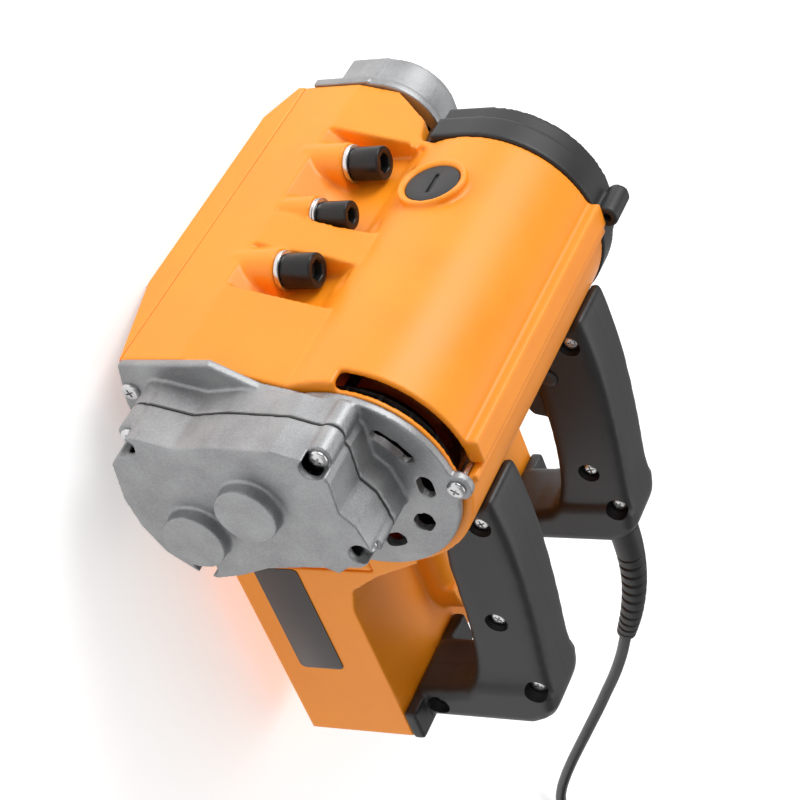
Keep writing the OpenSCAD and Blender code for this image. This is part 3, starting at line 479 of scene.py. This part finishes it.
# ---- Handles --------------------------------------------------------------------------------
# Each D-handle is a round grip running from the barrel to a square post, with thin arms that lie on
# the slab's end face. Two nylon halves meet on the middle plane, where a fine line shows.
def seamed(name, x):
    """Black nylon with the parting line of two halves on the plane x, in mm."""
    material = finish(name, ((0.010, 0.010, 0.011), (0.018, 0.018, 0.020)), (0.38, 0.5), grain=0.9,
                      relief=0.07,
                      patch=30, worn=(0.045, 0.045, 0.05))
    nodes, links = material.node_tree.nodes, material.node_tree.links
    shader = nodes["Principled BSDF"]
    place = nodes.new("ShaderNodeTexCoord")
    parts = nodes.new("ShaderNodeSeparateXYZ")
    links.new(place.outputs["Object"], parts.inputs["Vector"])
    line = nodes.new("ShaderNodeMath")
    line.operation = "COMPARE"
    line.inputs[1].default_value = x * MM
    line.inputs[2].default_value = 0.28 * MM
    links.new(parts.outputs["X"], line.inputs[0])
    dark = nodes.new("ShaderNodeMix")
    dark.data_type = "RGBA"
    dark.inputs["B"].default_value = (0.002, 0.002, 0.002, 1)
    old = shader.inputs["Base Color"].links[0].from_socket
    links.new(line.outputs[0], dark.inputs["Factor"])
    links.new(old, dark.inputs["A"])
    links.new(dark.outputs["Result"], shader.inputs["Base Color"])
    return material


grip_line = [(-30, 187), (-15, 188.2), (5, 188.6), (20, 187.9), (35, 186.8), (50, 185.3), (65, 183.6),
             (80, 181.6),
             (95, 179.3), (108, 178), (118, 178), (128, 176.5), (136.5, 171), (140, 161), (140, 128),
             (116, 128),
             (108.5, 130.5), (100, 134.2), (88, 137.6), (75, 140.1), (60, 142.1), (40, 143.8), (20, 145.1),
             (8, 147.6), (-4, 149.2), (-20, 160)]
post_line = [(108, 175), (118, 177), (128, 175), (135, 169), (139, 160), (139, 89.4), (118, 89.4), (117.5,
                                                                                                    112),
             (115.5, 124), (109, 132)]
holes = {72.5: ((-12, 175.5), (59.5, 161.7), (112, 169), (128, 104)),
         -69.5: ((-12, 175.5), (84, 159), (112, 169), (128, 104))}
for label, x, shift, nodes in (("near", 72.5, -3, ("near_handle_outer", "near_handle_inner")),
                               ("far", -69.5, 3, ("far_handle_outer", "far_handle_inner"))):
    grip = prism(label + "_grip", grip_line, x - 19.3, x + 19.3)
    melted(grip, 1.6, 60)
    post = rounded(prism(label + "_post", post_line, x - 22.5, x + 22.5), 6, 4, 50)
    arms = rounded(prism(label + "_arms", [(121.3, 89.3), (141.4, 89.3), (141.4, 97), (121.3, 97)],
                         x + shift - 39.7, x + shift + 39.7), 1.5, 2, 50)
    pieces = [grip, post, arms]
    if label == "far":
        pieces.append(rounded(prism("trigger_web", [(-8, 151), (-1, 134), (6, 131.7), (41, 131.7), (44.5,
                                                                                                    134),
                                                    (46.5, 142), (52, 147), (52, 156), (-8, 156)],
                                    x - 13.9, x + 13.9), 2.5, 3, 50))
    handle = melted(joined(label + "_handle_moulding", pieces), 1.0, 5, 170000)
    cut(handle, rod("barrel_room", (x - 60, -63.5, 131), (1, 0, 0), 120, 62.3, 128))
    cut(handle, rod("brush_room", (-50, -30, 131), (0, 1, 0), 38, 18.2, 64))
    if label == "far":
        cut(handle, rounded(prism("trigger_room", [(14.5, 120), (72, 120), (72, 170), (14.5, 170)], x - 9,
                                  x + 9),
                            1, 2, 50))
        cut(handle, rod("button_room", (-64.2, 10.5, 156), (1, 0, 0), 30, 5.9))
        cut(handle, rod("cord_room", (-60, 118, 162), (0, 1, 0), 40, 9.9))
    for y, z in holes[x]:
        cut(handle, turned("screw_room", [(0, 5.9), (3, 5.9), (4.6, 6.6), (30, 6.6)], (x + 14, y, z), (1,
                                                                                                       0,
                                                                                                       0),
                                                                                                       36))
        cut(handle, rod("screw_hole", (x - 20, y, z), (1, 0, 0), 36, 2.7, 24))
    only(handle)
    bpy.ops.object.shade_smooth_by_angle(angle=radians(38))
    handle.data.materials.clear()
    handle.data.materials.append(seamed(label + "_handle_plastic", x))
    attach(handle, "tool_body")
    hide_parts(*nodes)

# ---- Screws ---------------------------------------------------------------------------------
# Zinc-plated pan heads with a cross recess: four in the gear case cover, three in its flange, four
# in the outboard casting and four in each handle.
chrome = finish("plated_steel", ((0.55, 0.55, 0.56), (0.7, 0.7, 0.7)), (0.2, 0.36), metal=1, grain=0.4,
                relief=0.01)
pattern = turned("pan_head", [(-18, 2.2), (-17, 2.4), (0, 2.4), (0.05, 5), (1.0, 5), (1.6, 4.85), (2.1,
                                                                                                   4.3),
                              (2.45, 3.3), (2.6, 1.8)], (-18, 0, 0), (1, 0, 0), 40)
for turn in (0, 90):
    bpy.ops.object.select_all(action="DESELECT")
    bpy.ops.mesh.primitive_cube_add(size=1, location=(2.2 * MM, 0, 0), rotation=(radians(turn), 0, 0),
                                    scale=(2.4 * MM, 1.1 * MM, 5 * MM))
    bpy.ops.object.transform_apply(location=True, rotation=True, scale=True)
    cut(pattern, bpy.context.object)
pattern.data.materials.clear()
pattern.data.materials.append(chrome)
only(pattern)
bpy.ops.object.shade_smooth_by_angle(angle=radians(38))
rows = (("cover_screws", [(148, -124.7, 41.5), (148, -112.5, 145.5), (148, -56, 151.4), (148, -42, 54)],
         1, 1),
        ("flange_screws", [(114, -124.4, 23.2), (114, -61.6, 188.6), (114, -12, 96)], 1, 1),
        ("outboard_screws", [(-162.4, -124, 48), (-162.4, -112, 82), (-162.4, -52, 38), (-162.4, -48,
                                                                                         83)], -1, 1),
        ("handle_screws", [(x + 14, y, z) for x in holes for y, z in holes[x]], 1, 0.92))
for node, places, way, size in rows:
    heads = []
    for i, (x, y, z) in enumerate(places):
        head = pattern.copy()
        head.data = pattern.data.copy()
        bpy.context.collection.objects.link(head)
        head.matrix_world = (Matrix.Translation((x * MM, y * MM, z * MM)) @ Matrix.Rotation(0.6 * i + 0.3,
                                                                                            4, "X")
                             @ Matrix.Diagonal((way, size, size, 1)))
        only(head)
        bpy.ops.object.transform_apply(location=True, rotation=True, scale=True)
        if way < 0:
            bpy.ops.object.mode_set(mode="EDIT")
            bpy.ops.mesh.select_all(action="SELECT")
            bpy.ops.mesh.normals_make_consistent(inside=False)
            bpy.ops.object.mode_set(mode="OBJECT")
        heads.append(head)
    set_of_screws = joined(node + "_plated", heads)
    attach(set_of_screws, "tool_body")
    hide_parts(node)
bpy.data.objects.remove(pattern)


# ---- Bolts and washers ----------------------------------------------------------------------
# Two long guide bolts that rise with the sole and the depth screw between them: black-oxide socket
# heads with a chamfer, over zinc-plated washers with rolled edges.
def dressed(name, node, material, width, body, segments=2, angle=35, smooth=40):
    """A CAD node's own shape with its edges broken and a finish on it."""
    piece = from_cad(name, node)
    if width:
        rounded(piece, width, segments, angle)
    only(piece)
    bpy.ops.object.shade_smooth_by_angle(angle=radians(smooth))
    piece.data.materials.append(material)
    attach(piece, body)
    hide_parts(node)
    return piece


oxide = finish("black_oxide", ((0.011, 0.011, 0.012), (0.028, 0.027, 0.026)), (0.26, 0.42), metal=0.5,
               grain=0.5,
               relief=0.03, worn=(0.17, 0.16, 0.15))
dressed("guide_bolts_oxide", "guide_bolts", oxide, 1.0, "sole_unit", 3, 50)
dressed("depth_screw_oxide", "depth_screw", oxide, 0.9, "tool_body", 3, 50)
dressed("guide_washers_plated", "guide_washers", chrome, 0.5, "tool_body", 2, 50)
dressed("depth_washers_plated", "depth_washers", chrome, 0.35, "tool_body", 2, 50)

# ---- Brush caps -----------------------------------------------------------------------------
# Black slotted caps screwed into the barrel over the two carbon brushes.
dressed("brush_caps_moulded", "brush_caps", black, 0.7, "tool_body", 3, 50)

# ---- Trigger and button ---------------------------------------------------------------------
# Curved trigger under the far grip and the round button that frees it, in the handles' black.
glossy = finish("trigger_plastic", ((0.015, 0.015, 0.016), (0.024, 0.024, 0.026)), (0.28, 0.4), grain=0.9,
                relief=0.03, worn=(0.08, 0.08, 0.085))
dressed("trigger_moulded", "trigger", glossy, 1.6, "trigger_unit", 4, 50)
dressed("lock_button_moulded", "lock_button", glossy, 0.8, "lock_unit", 3, 50)

# ---- Label plate ----------------------------------------------------------------------------
# Plain dark foil plate in a shallow frame on the slab's end face.
foil = finish("label_foil", ((0.020, 0.012, 0.010), (0.034, 0.022, 0.018)), (0.26, 0.38), grain=0.5,
              relief=0.01,
              coat=0.3)
dressed("label_plate_foil", "label_plate", foil, 0.2, "tool_body", 2, 50)

# ---- Sole and blades ------------------------------------------------------------------------
# Pressed-steel sole the tool runs on, and the diamond blades with their flanges and nut.
sheet = finish("sole_sheet", ((0.46, 0.46, 0.47), (0.62, 0.62, 0.62)), (0.26, 0.42), metal=1, grain=0.5,
               relief=0.015, stretch=(0.12, 1, 1))
segments = finish("diamond_segments", ((0.20, 0.19, 0.18), (0.42, 0.41, 0.4)), (0.32, 0.55), metal=0.9,
                  grain=0.5,
                  relief=0.12)
ground = finish("machined_steel", ((0.4, 0.4, 0.41), (0.52, 0.52, 0.53)), (0.24, 0.4), metal=1, grain=0.3,
                relief=0.012)
dressed("sole_plate_pressed", "sole_plate", sheet, 0.4, "sole_unit", 2, 50)
dressed("diamond_blades_ground", "diamond_blades", segments, 0.2, "blade_unit", 1, 50)
dressed("blade_nut_plated", "blade_nut", chrome, 0.8, "blade_unit", 2, 40)
dressed("blade_flanges_plated", "blade_flanges", chrome, 0.5, "blade_unit", 2, 50)

# ---- Cover gasket ---------------------------------------------------------------------------
# Dark fibre gasket that shows as a thin line between the two gear case castings.
paper = finish("gasket_paper", ((0.05, 0.05, 0.05), (0.09, 0.09, 0.085)), (0.8, 0.9), grain=0.4)
dressed("cover_gasket_fibre", "cover_gasket", paper, 0, "tool_body")

# ---- Inside the motor -----------------------------------------------------------------------
# Copper windings and commutator, brass brush holders with carbon brushes, and a black fan, on the
# CAD parts themselves.
copper = finish("copper_wire", ((0.42, 0.13, 0.04), (0.62, 0.22, 0.08)), (0.25, 0.4), metal=1, grain=0.5,
                relief=0.1)
brass = finish("brass_sheet", ((0.6, 0.42, 0.16), (0.72, 0.52, 0.22)), (0.25, 0.4), metal=1, grain=0.5)
graphite = finish("graphite", ((0.02, 0.02, 0.02), (0.04, 0.04, 0.04)), (0.5, 0.65), grain=0.4)
finishes = {"orange_plastic": orange, "black_plastic": black, "cast_aluminium": cast, "gasket_paper": paper,
            "plated_steel": chrome, "machined_steel": ground, "diamond_blade": segments,
            "black_oxide_steel": oxide, "copper_wire": copper, "brass": brass, "carbon": graphite,
            "label_foil": foil, "lead_rubber": rubber}
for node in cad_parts.values():
    for slot in node.material_slots:
        for key in finishes:
            if slot.material and slot.material.name.startswith(key):
                slot.material = finishes[key]
                break
